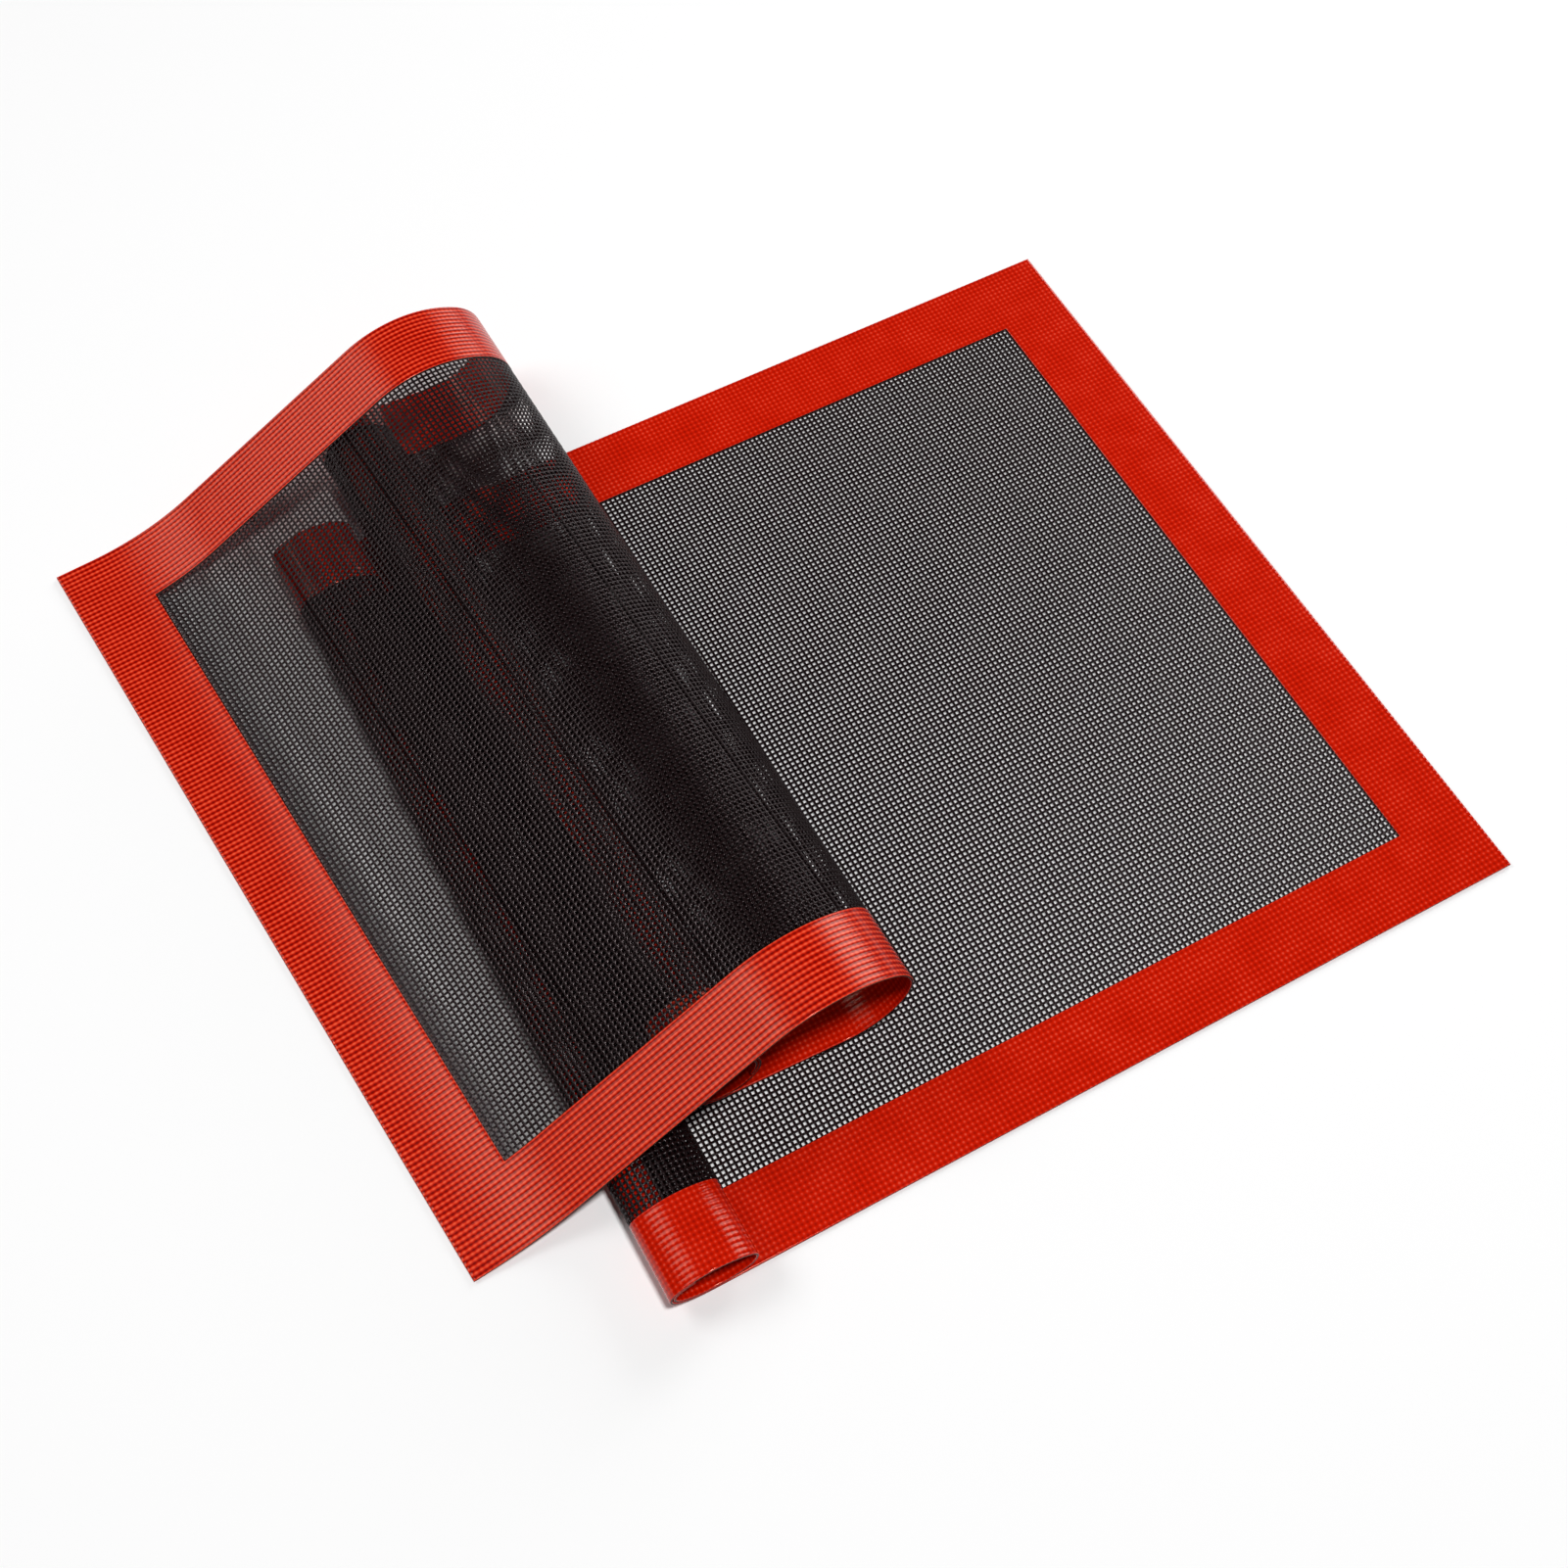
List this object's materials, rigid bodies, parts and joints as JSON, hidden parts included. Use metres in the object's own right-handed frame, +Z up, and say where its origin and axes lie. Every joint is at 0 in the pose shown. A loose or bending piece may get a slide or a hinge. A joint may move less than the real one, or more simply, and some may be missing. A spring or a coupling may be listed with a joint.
{
  "type": "silicone baking mat",
  "caption": "Perforated silicone baking mats with a solid border: one flat with a rolled end, one folded over it",
  "frame": {"origin": "middle of the lower mat's flat part, on the table plane", "axes": "+X along the lower mat from its rolled end to its plain end, +Y across it from the near edge to the far edge, +Z up"},
  "size_m": [0.3795, 0.3517, 0.0487],
  "materials": {
    "silicone_band": "satin",
    "mesh_cloth": "satin"
  },
  "bodies": {
    "lower_mat": {"lower_mat_end_band": "silicone_band", "lower_mat_far_band": "silicone_band", "lower_mat_mesh": "mesh_cloth", "lower_mat_near_band": "silicone_band", "lower_roll_far_band": "silicone_band", "lower_roll_inner_band": "silicone_band", "lower_roll_mesh": "mesh_cloth", "lower_roll_near_band": "silicone_band"},
    "upper_mat": {"upper_bed_far_band": "silicone_band", "upper_bed_mesh": "mesh_cloth", "upper_bed_near_band": "silicone_band", "upper_fold_far_band": "silicone_band", "upper_fold_mesh": "mesh_cloth", "upper_fold_near_band": "silicone_band", "upper_roll_far_band": "silicone_band", "upper_roll_inner_band": "silicone_band", "upper_roll_mesh": "mesh_cloth", "upper_roll_near_band": "silicone_band"},
    "flap": {"flap_end_band": "silicone_band", "flap_far_band": "silicone_band", "flap_mesh": "mesh_cloth", "flap_near_band": "silicone_band"}
  },
  "joints": [
    {"name": "upper_lift", "type": "slide", "parent": "lower_mat", "child": "upper_mat", "axis": [0, 0, 1], "range_m": [0, 0.12]},
    {"name": "flap_open", "type": "hinge", "parent": "upper_mat", "child": "flap", "pos_m": [-0.08934, 0.04557, 0.04869], "axis": [-0.0171, 0.9999, 0], "range_deg": [0, 50]}
  ]
}
